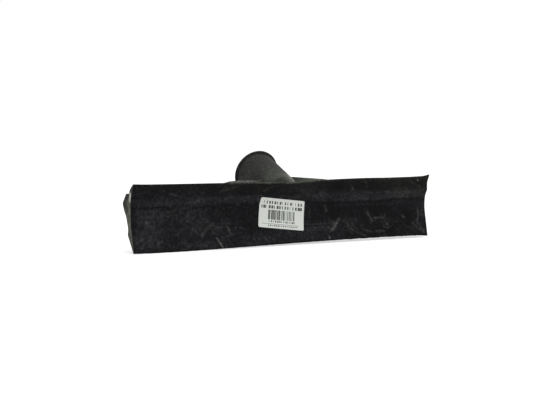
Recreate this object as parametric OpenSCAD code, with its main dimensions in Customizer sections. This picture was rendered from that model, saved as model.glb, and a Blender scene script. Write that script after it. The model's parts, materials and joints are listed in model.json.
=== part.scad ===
// Floor squeegee head: a moulded rubber blade with two lips on an iron core, and a socket for a round handle.
// X runs along the blade, +Y points to the handle side and +Z is up.
// The origin is the middle of the working edge, the flat at the bottom of the lower lip.

/* [Blade] */
// Width of the blade along X
blade_w = 300; // [200:5:600]
// Height from the working edge to the top of the upper lip
blade_h = 58; // [54:0.5:66]
// Height of the crease where the two halves of the front face meet
crease_z = 37.5; // [36:0.5:40]
// Depth of the crease behind the plane of the two lip tips
crease_depth = 7.2; // [5:0.1:9]

/* [Lower lip] */
// Width of the flat working edge
edge_flat = 1.5; // [0.8:0.1:3]
// Height of the line about which the lip bends
lip_root_z = 27; // [25:0.5:28]
// Radius of the lip's rounded root
lip_root_r = 4.2; // [3.5:0.1:4.6]
// Depth of the front face at the lip's root, behind the plane of the tips
lip_front_depth = 6.4; // [5:0.1:7]
// Height of the heel where the bevel of the working edge starts
lip_heel_z = 14; // [10:0.5:15]
// Thickness of the lip at the heel, along Y
lip_heel_t = 10.5; // [8:0.1:12]
// Height of the waist above the heel
lip_waist_z = 19; // [17:0.5:21]
// Thickness of the lip at the waist, along Y
lip_waist_t = 7.6; // [6:0.1:8.5]
// Furthest bend of the lower lip to either side, in degrees
lip_bend = 20; // [5:1:22]

/* [Upper lip] */
// Length of the upper lip from the line about which it bends
wing_len = 10; // [8:0.5:12]
// Radius of the upper lip's rounded root
wing_root_r = 2.4; // [2:0.1:2.8]
// Thickness of the upper lip's tip
wing_tip_t = 1.4; // [0.8:0.1:2]
// Furthest bend of the upper lip to either side, in degrees
wing_bend = 15; // [5:1:18]

/* [Spine] */
// Depth of the spine from the plane of the lip tips to its back
spine_depth = 24.5; // [22:0.5:30]
// Depth of the spine's flat top
spine_top_depth = 16.5; // [14:0.5:19]
// Radius of the spine's rounded back
nose_r = 5; // [3:0.25:6]
// Height of the centre of the rounded back above the crease
nose_rise = 3; // [2:0.25:4]

/* [Core] */
// Height of the flat bar
bar_h = 12; // [10:0.5:13]
// Thickness of the flat bar
bar_t = 5; // [3:0.25:6]
// Rubber between the crease and the bar
bar_cover = 4.5; // [3.5:0.25:5]
// Height of the bar's centre above the crease
bar_rise = 2; // [1:0.25:2.5]
// Thickness of the saddle's ears
ear_t = 3; // [2:0.25:3.5]
// Height of the saddle's ears
ear_h = 8; // [7:0.5:9]
// Rubber left between the socket's tube and a rivet's centre
rivet_offset = 10.8; // [9:0.2:16]
// Distance from a rivet's centre to the end of its ear
ear_margin = 8; // [5:0.5:12]
// Diameter of a rivet's shank
rivet_d = 4.4; // [3:0.1:5]
// Diameter of a rivet's head
rivet_head_d = 6.8; // [6:0.1:7.5]
// Height of a rivet's head
rivet_head_h = 1.6; // [1:0.1:2]

/* [Socket] */
// Upward tilt of the socket from the horizontal, in degrees
socket_tilt = 17; // [10:0.5:22]
// Height of the socket's axis above the bar's centre, at the back of the bar
socket_rise = 6; // [4:0.25:8]
// Length of the socket from the back of the bar to its mouth
socket_len = 51.5; // [45:0.5:90]
// Length of the saddle's round stub along the socket's axis
stub_len = 5.5; // [5:0.25:9]
// Diameter of the handle's bore
bore_d = 24; // [20:0.5:28]
// Wall of the socket's tube
tube_wall = 1.2; // [1:0.1:2]
// Thickness of the closed end of the tube
tube_floor = 2; // [1:0.25:3]
// Distance of the tube's end inside the rubber mouth
mouth_recess = 2; // [1:0.25:4]
// Chamfer inside the tube's mouth
mouth_chamfer = 0.6; // [0.3:0.1:1]
// Rubber round the tube at the blade
sleeve_wall_base = 2.5; // [2:0.1:3.5]
// Rubber round the tube at the mouth
sleeve_wall_mouth = 6.3; // [4:0.1:8]
// Diameter of the bead round the mouth
bead_d = 3.2; // [2:0.1:4]
// Height that the bead stands out from the sleeve
bead_out = 2; // [1:0.1:2.5]
// Rubber in front of the saddle's stub
apron_t = 3; // [2:0.25:3.5]

/* [Webs] */
// Length of each web beside the socket, from the middle of the blade
web_len = 78; // [60:1:100]
// Height of the web's top at the socket, above the spine's top
web_rise = 9.5; // [6:0.5:11]
// Height of the web's outer end above the spine's top
web_end_rise = 1.5; // [1:0.25:4]
// Depth of the web at the socket, from the apron backwards
web_depth = 15; // [10:0.5:20]
// Depth of the web's outer end
web_end_depth = 3; // [2:0.25:5]

/* [Label] */
// Width of the paper label
label_w = 45.7; // [30:0.1:60]
// Height of the paper label
label_h = 26.5; // [20:0.1:32]
// Corner radius of the label
label_corner_r = 1.2; // [0.5:0.1:3]
// Thickness of the label
label_t = 0.25; // [0.1:0.05:0.5]
// Place of the label's centre along the blade
label_x = -5.7; // [-60:0.1:60]
// Height of the label's centre
label_z = 26.9; // [24:0.1:29]
// Clockwise turn of the label on the front face, in degrees
label_turn = 7; // [-10:0.5:10]

/* [Fits] */
// Gap round the root of a lip
lip_gap = 0.3; // [0.2:0.05:0.4]
// Gap between rubber and a round metal piece inside it
bond_gap = 0.05; // [0.02:0.01:0.1]
// Radial gap between a rivet's shank and its hole
rivet_fit = 0.05; // [0.02:0.01:0.1]
// Gap between the label and the face under it
label_gap = 0.05; // [0.02:0.01:0.1]

/* [Hidden] */
$fn = 64;
// Overshoot of a cut past the face that it leaves through
over = 1;
// Spare angle between a bent lip and the edge of its seat, in degrees
seat_spare = 5;

// Sections below are points [y, z], seen from the blade's right end
tips_y = -edge_flat / 2;
crease = [tips_y + crease_depth, crease_z];
edge_front = [tips_y, 0];
edge_back = [tips_y + edge_flat, 0];
wing_tip_front = [tips_y, blade_h];
wing_tip_back = [tips_y + wing_tip_t, blade_h];

// Lower lip: its root circle, and the tangents from the edge and from the waist
lip_root = [tips_y + lip_front_depth + lip_root_r, lip_root_z];
lip_front_at = function (z) tips_y + lip_front_depth * z / lip_root_z;
lip_heel = [lip_front_at(lip_heel_z) + lip_heel_t, lip_heel_z];
lip_waist = [lip_front_at(lip_waist_z) + lip_waist_t, lip_waist_z];
lip_front_touch = tangent_point(edge_front, lip_root, lip_root_r, 1);
lip_back_touch = tangent_point(lip_waist, lip_root, lip_root_r, -1);
lip_seat_r = lip_root_r + lip_gap;

// Upper lip: its root circle lies against the front face, wing_len below the tip
wing_dir = unit(wing_tip_front - crease);
wing_out = [wing_dir.y, -wing_dir.x];
wing_root = wing_tip_front - wing_len * wing_dir + wing_root_r * wing_out;
wing_front_touch = wing_root - wing_root_r * wing_out;
wing_back_touch = tangent_point(wing_tip_back, wing_root, wing_root_r, 1);
wing_seat_r = wing_root_r + lip_gap;

// Spine: where its faces meet the two seats
lip_seat_front_angle = angle_of(lip_front_touch - lip_root) - lip_bend - seat_spare;
lip_seat_front = lip_root + lip_seat_r * ray(lip_seat_front_angle);
lip_seat_back_angle = angle_of(lip_back_touch - lip_root) + lip_bend + seat_spare;
lip_seat_back = lip_root + lip_seat_r * ray(lip_seat_back_angle);
face_foot = [front_between(lip_front_touch, crease, lip_seat_front.y), lip_seat_front.y];
wing_seat_front = wing_front_touch - sqrt(wing_seat_r ^ 2 - wing_root_r ^ 2) * wing_dir;
wing_seat_back_angle = angle_of(wing_back_touch - wing_root) - wing_bend - seat_spare;
wing_seat_back = wing_root + wing_seat_r * ray(wing_seat_back_angle);
spine_top_z = wing_seat_back.y;
spine_top_back = [tips_y + spine_top_depth, spine_top_z];
nose = [tips_y + spine_depth - nose_r, crease_z + nose_rise];
nose_top_angle = angle_of(tangent_point(spine_top_back, nose, nose_r, 1) - nose);
nose_low_angle = angle_of(tangent_point(lip_seat_back, nose, nose_r, -1) - nose);
// Flats in the spine's rounded back
nose_steps = 12;

// Core and socket
bar_front_y = crease.x + bar_cover;
bar_back_y = bar_front_y + bar_t;
bar_z = crease_z + bar_rise;
axis_z = bar_z + socket_rise;
ear_back_y = bar_back_y + ear_t;
tube_r = bore_d / 2 + tube_wall;
rivet_x = tube_r + rivet_offset;
ear_end_x = rivet_x + ear_margin;
tube_end = socket_len - mouth_recess;
sleeve_base_r = tube_r + bond_gap + sleeve_wall_base;
sleeve_mouth_r = tube_r + bond_gap + sleeve_wall_mouth;
bead_r = bead_d / 2;
bead_ring_r = sleeve_mouth_r + bead_out - bead_r;
apron_y = bar_back_y - apron_t;
apron_back = apron_t / cos(socket_tilt) + sleeve_base_r * tan(socket_tilt) + over;
big = blade_w + blade_h + socket_len;

function unit(v) = v / norm(v);
function ray(a) = [cos(a), sin(a)];
function angle_of(v) = atan2(v.y, v.x);
// Points on the circle round c from angle a to angle b
function arc_points(c, r, a, b) = [for (i = [0 : nose_steps]) c + r * ray(a + (b - a) * i / nose_steps)];
// Place on the line from a to b at height z
function front_between(a, b, z) = a.x + (b.x - a.x) * (z - a.y) / (b.y - a.y);
// Where the line from p touches the circle round c, on its left (side 1) or right (side -1)
function tangent_point(p, c, r, side) =
    let (gap = c - p, reach = norm(gap), half = asin(r / reach))
    p + sqrt(reach ^ 2 - r ^ 2) * ray(angle_of(gap) + side * half);

// Draws a [y, z] section along X
module along_x(length) {
    rotate([90, 0, 90])
        translate([0, 0, -length / 2])
            linear_extrude(length)
                children();
}

module disc_at(centre, r) {
    translate(centre)
        circle(r);
}

// Moves a shape from the Z axis to the socket's axis, with its start at the back of the bar
module on_socket_axis() {
    translate([0, bar_back_y, axis_z])
        rotate([socket_tilt - 90, 0, 0])
            children();
}

// Everything behind the plane at y
module behind(y) {
    translate([-big / 2, y, -big / 2])
        cube(big);
}

module spine_section() {
    difference() {
        polygon(concat([face_foot, crease, wing_seat_front, wing_root, wing_seat_back, spine_top_back],
                       arc_points(nose, nose_r, nose_top_angle, nose_low_angle),
                       [lip_seat_back, lip_root]));
        disc_at(lip_root, lip_seat_r);
        disc_at(wing_root, wing_seat_r);
    }
}

// Outside of the socket, from in front of the apron to the mouth, grown by extra
module socket_cone(extra) {
    slope = (sleeve_mouth_r - sleeve_base_r) / socket_len;
    on_socket_axis()
        translate([0, 0, -apron_back])
            cylinder(h = apron_back + socket_len, r1 = sleeve_base_r - slope * apron_back + extra,
                     r2 = sleeve_mouth_r + extra);
}

// Part of the socket that stands behind the bar, which the spine leaves free
module socket_room() {
    intersection() {
        socket_cone(bond_gap);
        behind(bar_back_y);
    }
}

module spine_block() {
    difference() {
        along_x(blade_w)
            spine_section();
        socket_room();
    }
}

// Both rivets' places on the bar, with +Z pointing to the handle side
module at_rivets() {
    for (side = [-1, 1])
        translate([side * rivet_x, bar_back_y, bar_z])
            rotate([-90, 0, 0])
                children();
}

module rivet_holes() {
    at_rivets()
        translate([0, 0, -bar_t - over])
            cylinder(h = bar_t + ear_t + 2 * over, d = rivet_d + 2 * rivet_fit);
}

// Shank with a head at each end, grown by extra
module rivet(extra) {
    translate([0, 0, -bar_t])
        cylinder(h = bar_t + ear_t, d = rivet_d);
    translate([0, 0, -bar_t - rivet_head_h - extra])
        cylinder(h = rivet_head_h + extra, d = rivet_head_d + 2 * extra);
    translate([0, 0, ear_t])
        cylinder(h = rivet_head_h + extra, d = rivet_head_d + 2 * extra);
}

module bar_solid() {
    translate([-blade_w / 2, bar_front_y, bar_z - bar_h / 2])
        cube([blade_w, bar_t, bar_h]);
}

// Ears flat on the bar and a round stub that stands square to the socket's axis
module saddle_solid(extra) {
    translate([-ear_end_x, bar_back_y, bar_z - ear_h / 2])
        cube([2 * ear_end_x, ear_t, ear_h]);
    intersection() {
        on_socket_axis()
            translate([0, 0, -big / 2])
                cylinder(h = big / 2 + stub_len, r = tube_r + extra);
        behind(bar_back_y);
    }
}

// Room that the rubber leaves for all the metal inside it
module metal_room() {
    bar_solid();
    saddle_solid(bond_gap);
    at_rivets()
        rivet(bond_gap);
    on_socket_axis()
        translate([0, 0, stub_len])
            cylinder(h = socket_len, r = tube_r + bond_gap);
}

// Room in front of the bar and below the spine's top, which belongs to the spine alone
module front_room() {
    translate([-big / 2, bar_back_y - big, spine_top_z - big])
        cube(big);
}

module wiper_lip() {
    color("#262628")
        along_x(blade_w) {
            polygon([edge_front, edge_back, lip_heel, lip_waist, lip_back_touch, lip_root, lip_front_touch]);
            disc_at(lip_root, lip_root_r);
        }
}

module upper_lip() {
    color("#2a2a2a")
        along_x(blade_w) {
            polygon([wing_front_touch, wing_root, wing_back_touch, wing_tip_back, wing_tip_front]);
            disc_at(wing_root, wing_root_r);
        }
}

module spine_cover() {
    color("#303030")
        difference() {
            spine_block();
            metal_room();
        }
}

module core_bar() {
    color("#6b655c")
        difference() {
            bar_solid();
            rivet_holes();
        }
}

module core_saddle() {
    color("#74706a")
        difference() {
            saddle_solid(0);
            rivet_holes();
        }
}

module saddle_rivets() {
    color("#8c8c8c")
        at_rivets()
            rivet(0);
}

module socket_tube() {
    color("#9a9a98")
        on_socket_axis()
            translate([0, 0, stub_len])
                difference() {
                    length = tube_end - stub_len;
                    cylinder(h = length, r = tube_r);
                    translate([0, 0, tube_floor])
                        cylinder(h = length, d = bore_d);
                    translate([0, 0, length - mouth_chamfer])
                        cylinder(h = mouth_chamfer, d1 = bore_d, d2 = bore_d + 2 * mouth_chamfer);
                }
}

module socket_sleeve() {
    color("#4a4c4a")
        difference() {
            union() {
                intersection() {
                    socket_cone(0);
                    behind(apron_y);
                }
                on_socket_axis()
                    translate([0, 0, socket_len - bead_r])
                        rotate_extrude()
                            translate([bead_ring_r, 0])
                                circle(bead_r);
            }
            spine_block();
            front_room();
            metal_room();
        }
}

// Webs that run from the socket's sides down to the spine's top
module socket_webs() {
    color("#454745")
        difference() {
            for (side = [0, 1])
                mirror([side, 0, 0])
                    hull() {
                        translate([bore_d / 2, apron_y, spine_top_z - web_rise])
                            cube([over, web_depth, 2 * web_rise]);
                        translate([web_len - over, apron_y, spine_top_z - web_end_rise])
                            cube([over, web_end_depth, 2 * web_end_rise]);
                    }
            socket_cone(bond_gap);
            spine_block();
            front_room();
        }
}

// Thin paper that follows the front face over the crease
module label() {
    face = [edge_front, lip_front_touch, face_foot, crease, wing_seat_front];
    near = [for (p = face) p - [label_gap, 0]];
    far = [for (i = [len(face) - 1 : -1 : 0]) face[i] - [label_gap + label_t, 0]];
    inner = [label_w - 2 * label_corner_r, label_h - 2 * label_corner_r];
    color("#eef0ea")
        intersection() {
            along_x(blade_w)
                polygon(concat(near, far));
            translate([label_x, spine_depth, label_z])
                rotate([90, label_turn, 0])
                    linear_extrude(2 * spine_depth)
                        hull()
                            for (x = [-1, 1], y = [-1, 1])
                                translate([x * inner.x / 2, y * inner.y / 2])
                                    circle(label_corner_r, $fn = 32);
        }
}

wiper_lip();
upper_lip();
spine_cover();
core_bar();
core_saddle();
saddle_rivets();
socket_tube();
socket_sleeve();
socket_webs();
label();
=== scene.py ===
# %% [markdown]
# A rubber floor squeegee head
#
# The real head is one piece of black rubber, pressed round an iron bar and the foot of a steel
# tube. A long blade with a lower and an upper lip wipes the floor, and a cone at the back takes
# a round handle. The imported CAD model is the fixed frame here: every mesh below is built in its
# coordinates, in metres, so nothing has to be fitted by eye afterwards.

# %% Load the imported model
import json
import math
import random

import bmesh
import bpy
import numpy as np
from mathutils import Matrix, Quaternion, Vector, noise
from mathutils.geometry import delaunay_2d_cdt


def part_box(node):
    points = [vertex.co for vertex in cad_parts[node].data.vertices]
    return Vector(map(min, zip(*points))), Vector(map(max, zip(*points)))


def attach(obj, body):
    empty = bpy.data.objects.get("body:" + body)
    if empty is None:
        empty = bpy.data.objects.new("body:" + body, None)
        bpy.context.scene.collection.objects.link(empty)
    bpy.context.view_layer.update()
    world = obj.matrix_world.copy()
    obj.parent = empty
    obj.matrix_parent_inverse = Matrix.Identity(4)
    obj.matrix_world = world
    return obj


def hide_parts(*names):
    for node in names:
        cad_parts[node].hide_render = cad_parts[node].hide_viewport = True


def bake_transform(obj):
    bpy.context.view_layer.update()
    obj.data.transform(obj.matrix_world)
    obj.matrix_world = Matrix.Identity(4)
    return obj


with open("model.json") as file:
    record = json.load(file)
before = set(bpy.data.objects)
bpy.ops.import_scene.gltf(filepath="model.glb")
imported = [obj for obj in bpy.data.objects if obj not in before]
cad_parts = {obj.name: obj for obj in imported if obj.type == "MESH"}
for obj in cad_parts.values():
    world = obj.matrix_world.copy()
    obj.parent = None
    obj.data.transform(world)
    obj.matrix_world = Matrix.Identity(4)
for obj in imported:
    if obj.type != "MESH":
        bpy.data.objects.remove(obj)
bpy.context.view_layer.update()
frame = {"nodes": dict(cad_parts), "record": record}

print("nodes", sorted(frame["nodes"]))

# %% [markdown]
# Sizes from the frame
#
# Rubber mouldings are drawn in millimetres, so the sections below are too. The few driving sizes
# come from the CAD boxes and the handle's mount, which keeps every mesh on the solid that it
# stands for even if the CAD changes a little.

# %% Read the driving sizes
MM = 0.001


def box_mm(node):
    """Lowest and highest corner of a CAD node, in millimetres."""
    low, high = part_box(node)
    return low / MM, high / MM


flap_low, flap_high = box_mm("upper_lip")
half_width = box_mm("wiper_lip")[1].x
blade_top = flap_high.z
tip_front = flap_low.y
spine_back = box_mm("spine_cover")[1].y
bar_high = box_mm("core_bar")[1]
mount_of = {mount["name"]: mount for mount in frame["record"]["mounts"]}
socket_axis = Vector(mount_of["handle_socket"]["axis"]).normalized()
bore_radius = mount_of["handle_socket"]["dims"]["r_mm"]
print("half width %.1f, top %.1f, spine back %.2f mm" % (half_width, blade_top, spine_back))
print("socket tilt %.1f degrees" % math.degrees(math.asin(socket_axis.z)))

# %% [markdown]
# A section with rounded corners
#
# A rubber strip has the same section from end to end, so its section is drawn once and drawn out
# along the blade. Moulds have no knife-sharp corners, so each corner of the section carries a
# radius. A bevel could round them afterwards, but an arc in the section keeps each radius in plain
# sight. Points along the straight runs follow, because a blade that bends needs points where it bends.

# %% Helpers: rounded section
ARC_POINTS_PER_RADIAN = 5
CORNER_SHARE = 0.48


def arc_at(before, here, after, radius):
    """Points of the arc that rounds one corner; it takes no more than a share of the shorter side."""
    if radius == 0:
        return [here]
    into = before - here
    out = after - here
    longest_reach = CORNER_SHARE * min(into.length, out.length)
    into.normalize()
    out.normalize()
    half_angle = into.angle(out) / 2
    reach = min(radius / math.tan(half_angle), longest_reach)
    radius = reach * math.tan(half_angle)
    centre = here + (into + out).normalized() * (radius / math.sin(half_angle))
    first = here + into * reach - centre
    last = here + out * reach - centre
    turn = first.angle_signed(last)
    steps = max(2, math.ceil(abs(turn) * ARC_POINTS_PER_RADIAN))
    arc = []
    for k in range(steps + 1):
        angle = -turn * k / steps
        cos_a = math.cos(angle)
        sin_a = math.sin(angle)
        spoke = (first.x * cos_a - first.y * sin_a, first.x * sin_a + first.y * cos_a)
        arc.append(centre + Vector(spoke))
    return arc


def rounded_section(corners, spacing):
    """Corners (y, z, radius) in mm to an array of points, none further apart than spacing."""
    spots = [Vector(corner[:2]) for corner in corners]
    count = len(spots)
    rough = []
    for k in range(count):
        rough.extend(arc_at(spots[k - 1], spots[k], spots[(k + 1) % count], corners[k][2]))
    fine = []
    for start, end in zip(rough, rough[1:] + rough[:1]):
        run = end - start
        steps = max(1, math.ceil(run.length / spacing))
        fine.extend(start + run * (step / steps) for step in range(steps))
    return np.array([(p.x, p.y) for p in fine])


def section_normals(section):
    """Outward unit normals of a closed section."""
    after = np.roll(section, -1, axis=0)
    along = after - np.roll(section, 1, axis=0)
    normal = np.stack([along[:, 1], -along[:, 0]], axis=1)
    normal /= np.linalg.norm(normal, axis=1)[:, None]
    doubled_area = np.sum(section[:, 0] * after[:, 1] - after[:, 0] * section[:, 1])
    return normal * math.copysign(1, doubled_area)


square = rounded_section([(0, 0, 1), (10, 0, 1), (10, 10, 1), (0, 10, 1)], 2.0)
print("a rounded 10 mm square has", len(square), "points, outward normal", section_normals(square)[0])

# %% [markdown]
# The front face
#
# Seen from the end, the front of the blade is a shallow hollow between two lips. It is not the same
# all along: at the left end the upper lip leans back further, and at the right end the hollow is
# shallower and the rubber stands out in a small roll. Sculpting could give that by eye. Three curves
# give it in millimetres: the depth behind the lips' tips at each height, for the left end, the middle
# and the right end, and the face eases from one to the next. Right of the label, the crease itself
# dips by nearly 2 mm.

# %% Values and helpers: front face
# Rows of height and depth, from the working edge up to the tip of the upper lip.
FRONT_LEFT = [(0, 0), (6, 1.5), (13.5, 3.3), (17, 4.6), (21, 5.8), (27, 6.4), (33, 6.5), (38, 6.9),
              (41, 7.1), (46, 5.6), (50, 4.1), (54, 2.1), (58, 0)]
FRONT_MIDDLE = [(0, 0), (6, 1.5), (12, 3.0), (18, 4.5), (24, 5.7), (30, 6.3), (34, 6.7), (36.6, 7.1),
                (38.2, 6.6), (40, 5.7), (43, 4.2), (45, 3.5), (50, 2.0), (54, 1.0), (58, 0)]
FRONT_RIGHT = [(0, 0), (10, 1.9), (16, 3.2), (21, 4.3), (26, 5.3), (31, 5.4), (36, 5.0), (38.5, 4.4),
               (41, 3.1), (44, 1.3), (46, 1.5), (50, 1.6), (54, 0.5), (58, -0.6)]
LEFT_EASE = (-60.0, -150.0)
RIGHT_EASE = (95.0, 150.0)
# Rows of place along the blade and drop of the crease there.
CREASE_DROP = [(20, 0.0), (36, 1.8), (100, 1.7), (114, 0.3), (150, 0.0)]
CREASE_HEIGHT = 37.0
CREASE_REACH = 7.0
# How far a curve is averaged to either side, and over how many samples.
CURVE_EASE = (0.9, 9)
CURVE_SPAN = (-3, 61)
CURVE_POINTS = 641
fine_z = np.linspace(*CURVE_SPAN, CURVE_POINTS)


def ease(v, start, end):
    """Rises softly from 0 at start to 1 at end."""
    t = np.clip((v - start) / (end - start), 0, 1)
    return t * t * (3 - 2 * t)


def lookup(table, at):
    """Values between the rows of a table of places and values."""
    return np.interp(at, *zip(*table))


def softened(table, at, reach, samples):
    """The same, averaged over a reach to either side, which takes the corners off the table."""
    return np.mean([lookup(table, at + shift) for shift in np.linspace(-reach, reach, samples)], axis=0)


def front_depth(x, z):
    """How far the front face lies behind the lips' tips at this place."""
    left = ease(x, *LEFT_EASE)
    right = ease(x, *RIGHT_EASE)
    z = z + lookup(CREASE_DROP, x) * np.exp(-((z - CREASE_HEIGHT) / CREASE_REACH) ** 2)
    at_left, at_middle, at_right = (np.interp(z, fine_z, curve) for curve in front_curves)
    return left * at_left + (1 - left - right) * at_middle + right * at_right


front_curves = [softened(table, fine_z, *CURVE_EASE) for table in (FRONT_LEFT, FRONT_MIDDLE, FRONT_RIGHT)]
print("the hollow is %.1f mm deep in the middle" % front_depth(0.0, fine_z).max())

# %% [markdown]
# How the real blade is out of true
#
# A used or stored rubber blade is never quite straight. Its upper edge sags between the corners,
# most of all in front of the socket, where the rubber shrank most as it cooled. The lower edge runs
# in a flat S and is a little ragged, most of all on the right. Both were read off the edges as heights
# along the blade. The upper right corner was pulled out to a small point as it left the mould. A slow,
# seeded wave pushes the lips in and out by a fraction of a millimetre, more the further they stand from
# the stiff bar. A lattice could bend a straight mesh like that, but tables in millimetres stay exact.

# %% Values and helpers: out of true
# Rows of place along the blade and height, both in mm.
TOP_SAG = [(-150, 0.0), (-138, 0.5), (-109, 0.9), (-77, 1.2), (-30, 1.75), (4, 2.7), (18, 1.8), (30, 1.4),
           (58, 1.0), (80, 0.85), (105, 1.2), (131, 1.1), (143, 0.8), (147.5, 0.45), (150, -0.9)]
EDGE_RISE = [(-150, -0.6), (-130, -1.1), (-105, -1.1), (-75, -0.8), (-45, -0.3), (8, 0.6),
             (50, 1.0), (90, 1.2), (128, 1.2), (140, 0.75), (150, 0.3)]
RAG_DEPTH = [(-150, 0.12), (40, 0.12), (90, 0.3), (150, 0.4)]
EDGE_EASE = (2.5, 7)
SAG_FROM = 46.0
EDGE_RISE_TO = 14.0
RAG_LENGTH = 4.2
RAG_LANE = (8.1, 2.6)
WAVE_LENGTH = 62.0
WAVE_LANE = (3.7, 0.4)
WAVE_DEPTH = 0.45
STIFF_HEIGHT = 40.0
FREEDOM_POWER = 1.5
CORNER_FROM = (145.0, 51.0)
CORNER_PULL = 0.9


def wander(x, length, lane):
    """A seeded wave along the blade; each lane of the noise gives another one."""
    spots = np.unique(x)
    return np.interp(x, spots, [noise.noise(Vector((spot / length, *lane))) for spot in spots])


def out_of_true(x, y, z, lean):
    """Moves points of the straight blade to where the real one has them; lean is 1 on the front face."""
    sag = softened(TOP_SAG, x, *EDGE_EASE) * ease(z, SAG_FROM, blade_top)
    rag = wander(x, RAG_LENGTH, RAG_LANE) * softened(RAG_DEPTH, x, *EDGE_EASE)
    rise = (softened(EDGE_RISE, x, *EDGE_EASE) + rag) * ease(z, EDGE_RISE_TO, 0.0)
    freedom = (np.abs(z - STIFF_HEIGHT) / STIFF_HEIGHT) ** FREEDOM_POWER
    wave = WAVE_DEPTH * wander(x, WAVE_LENGTH, WAVE_LANE) * freedom
    shift = lean * (front_depth(x, z) - front_depth(0.0, z)) + wave
    corner = ease(x, CORNER_FROM[0], half_width) * ease(z, CORNER_FROM[1], blade_top)
    return np.stack([x + CORNER_PULL * corner, y + shift, z - sag + rise], axis=-1)


middle = out_of_true(np.array([0.0]), np.array([tip_front]), np.array([blade_top]), 1)[0]
print("top edge in the middle is at z %.2f mm" % middle[2])

# %% [markdown]
# Scuffs on the face
#
# A black rubber face shows every touch: pale rubs, short scratches and the curved creases where the
# lip was folded in its box. They could be an image, but a few strokes laid on the face in real
# millimetres stay sharp at any size. Each stroke is a chain of points with a half width and a
# strength. The marks that stand out on the real face are placed one by one, and a seeded scatter adds
# the many faint ones.

# %% Values: scuff strokes
# Half width, strength, and points along the blade and up the face.
PLAIN_STROKES = [
    (0.52, 0.6, [(-71.8, 9.0), (-69.6, 5.5), (-66.7, 1.2)]),
    (1.3, 0.09, [(-85.7, 11.6), (-81.3, 16.1), (-77.2, 18.9), (-73.6, 20.5)]),
    (0.9, 0.17, [(-60.9, 19.0), (-59.6, 15.5), (-58.0, 12.3)]),
    (1.3, 0.088, [(-69.6, 17.7), (-66.1, 18.2)]),
    (1.3, 0.088, [(-136.6, 24.9), (-134.1, 21.9)]),
    (0.9, 0.055, [(-139.7, 16.3), (-138.0, 19.1), (-134.1, 21.9)]),
    (1, 0.066, [(-98.3, 29.7), (-97.7, 23.7)]),
    (1.1, 0.055, [(-123.5, 31.7), (-114.1, 33.1), (-104.7, 34.4), (-95.1, 36.0)]),
    (1, 0.11, [(-49.7, 37.1), (-48.5, 36.9)]),
    (0.9, 0.055, [(-81.0, 33.3), (-77.0, 35.3)]),
    (0.8, 0.044, [(-70.4, 32.9), (-66.7, 28.8)]),
    (1.2, 0.29, [(44.7, 9.9), (49.0, 13.7), (53.9, 19.8)]),
    (1, 0.17, [(47.5, 17.8), (50.5, 13.2)]),
    (0.7, 0.066, [(18.8, 16.6), (45.1, 16.1)]),
    (0.7, 0.077, [(18.3, 13.5), (43.6, 13.1)]),
    (0.6, 0.044, [(20.1, 11.0), (41.2, 11.4)]),
    (0.6, 0.6, [(41.7, 3.7), (41.6, 2.2)]),
    (1, 0.13, [(85.2, 25.9), (87.0, 22.1), (89.7, 16.5)]),
    (1, 0.14, [(92.8, 19.3), (102.2, 19.1)]),
    (0.9, 0.18, [(121.7, 21.8), (125.3, 18.7)]),
    (1, 0.17, [(105.5, 14.4), (106.9, 12.5)]),
    (0.7, 0.083, [(101.4, 13.2), (102.0, 10.0), (106.3, 8.9), (109.4, 11.0)]),
    (0.8, 0.11, [(60.2, 16.8), (64.8, 11.2), (71.7, 6.4), (80.9, 2.5)]),
    (0.8, 0.099, [(66.7, 17.0), (69.3, 12.4), (73.1, 9.0)]),
    (0.7, 0.083, [(77.6, 9.7), (88.1, 6.1)]),
    (1.2, 0.099, [(92.6, 6.8), (101.4, 6.3)]),
    (0.9, 0.14, [(141.5, 25.6), (142.3, 19.9), (138.9, 14.4), (141.2, 10.6), (147.2, 4.7)]),
    (0.8, 0.083, [(145.9, 25.4), (145.6, 18.8)]),
    (0.8, 0.12, [(134.2, 13.2), (141.3, 7.3), (146.9, 2.8)]),
    (0.7, 0.066, [(130.2, 10.1), (136.3, 4.7)]),
    (1, 0.12, [(40.0, 32.2), (41.4, 27.6)]),
    (0.9, 0.066, [(32.6, 46.4), (35.4, 41.2)]),
    (0.8, 0.055, [(36.4, 45.8), (40.8, 41.0)]),
    (0.9, 0.15, [(66.6, 48.6), (67.5, 46.2)]),
    (0.8, 0.11, [(23.5, 28.3), (22.8, 22.5)]),
    (0.6, 0.6, [(138.0, 54.4), (138.7, 54.1)]),
    (0.6, 0.083, [(114.9, 6.2), (116.8, 7.9), (118.8, 6.0), (116.8, 3.8)]),
    (0.8, 0.083, [(104.3, 22.3), (105.3, 16.8)]),
    (1.1, 0.055, [(-42.0, 2.9), (-38.2, 1.5)]),
    (1, 0.05, [(-66.9, 50.3), (-60.3, 51.7)]),
    (1, 0.058, [(80.5, 54.7), (82.7, 48.6)]),
]
# How many faint strokes, their span along the blade and up the face, and their slant in degrees.
FAINT_SCATTER = [
    (26, (56, 146), (2, 24), -38), (14, (-146, -52), (2, 30), 35), (10, (-140, 140), (40, 54), -10),
]
FAINT_STRENGTH = (0.02, 0.06)
FAINT_HALF_WIDTH = (0.6, 1.1)
FAINT_LENGTH = (5, 17)
FAINT_STEPS = 4
FAINT_TURN = 35
FAINT_BEND = 14
SCUFF_SEED = 12
print(len(PLAIN_STROKES), "placed strokes")

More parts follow.
